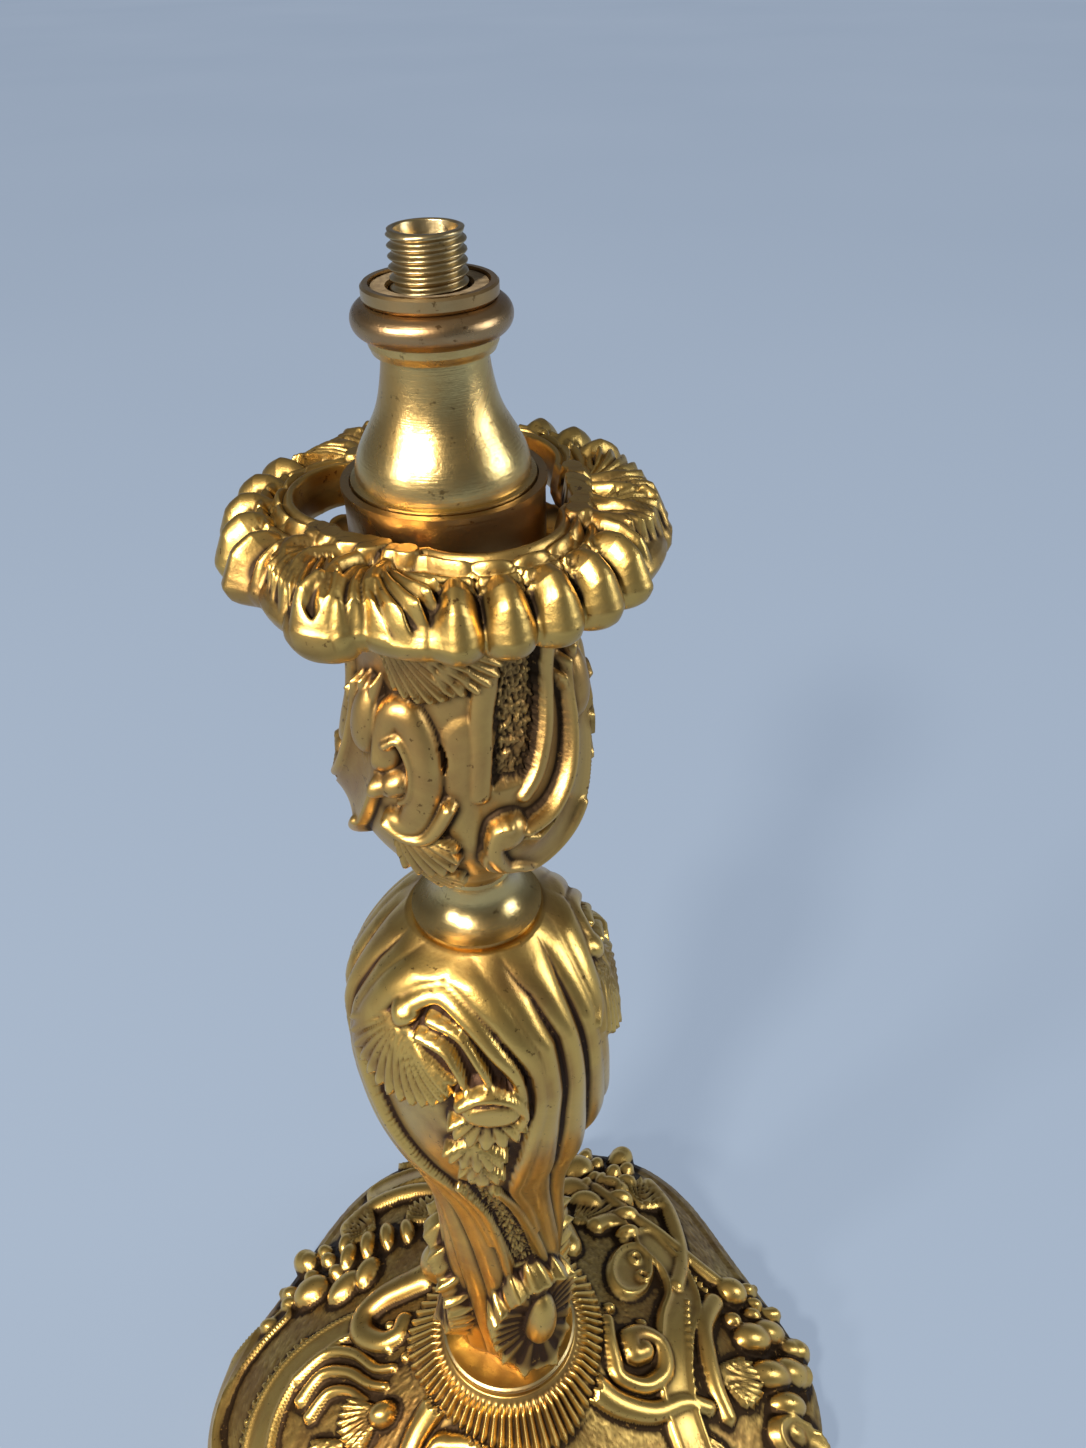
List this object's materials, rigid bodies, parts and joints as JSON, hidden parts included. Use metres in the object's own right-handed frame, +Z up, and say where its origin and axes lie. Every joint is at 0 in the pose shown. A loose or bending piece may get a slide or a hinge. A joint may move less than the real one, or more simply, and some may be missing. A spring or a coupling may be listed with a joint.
{
  "type": "candlestick",
  "caption": "Rocaille gilt-brass candlestick with a domed hollow foot, twisted stem, vase-shaped socket, loose drip pan and turned bell top on a threaded hollow tie tube.",
  "frame": {"origin": "centre of the foot's rest plane, under the tie tube's axis", "axes": "+Z up along the tie tube, -Y the pictured front"},
  "size_m": [0.1862, 0.1779, 0.3467],
  "materials": {
    "gilt_brass": "cast and chased, old gilding with brown patina in the recesses",
    "turned_brass": "turned, satin, fine circular scratches and small dark spots",
    "tube_brass": "drawn tube with cut thread, dull",
    "packing_fibre": "hard pressed fibre, rough and dirty"
  },
  "bodies": {
    "candlestick": {"base_casting": "gilt_brass", "foot_dish": "gilt_brass", "stem_casting": "gilt_brass", "spool_collar": "turned_brass", "vase_casting": "gilt_brass", "nozzle_drum": "turned_brass", "tie_tube": "tube_brass", "base_washer": "tube_brass", "clamp_nut": "tube_brass"},
    "bobeche": {"bobeche": "gilt_brass"},
    "bell": {"bell_cover": "turned_brass", "top_collar": "turned_brass", "packing_washer": "packing_fibre"},
    "knop_ring": {"knop_ring": "turned_brass"}
  },
  "joints": [
    {"name": "bobeche_lift", "type": "slide", "parent": "candlestick", "child": "bobeche", "axis": [0, 0, 1], "range_m": [0, 0.05]},
    {"name": "bell_lift", "type": "slide", "parent": "candlestick", "child": "bell", "axis": [0, 0, 1], "range_m": [0, 0.036]},
    {"name": "knop_turn", "type": "hinge", "parent": "bell", "child": "knop_ring", "pos_m": [0, 0, 0.3363], "axis": [0, 0, 1], "continuous": true}
  ]
}
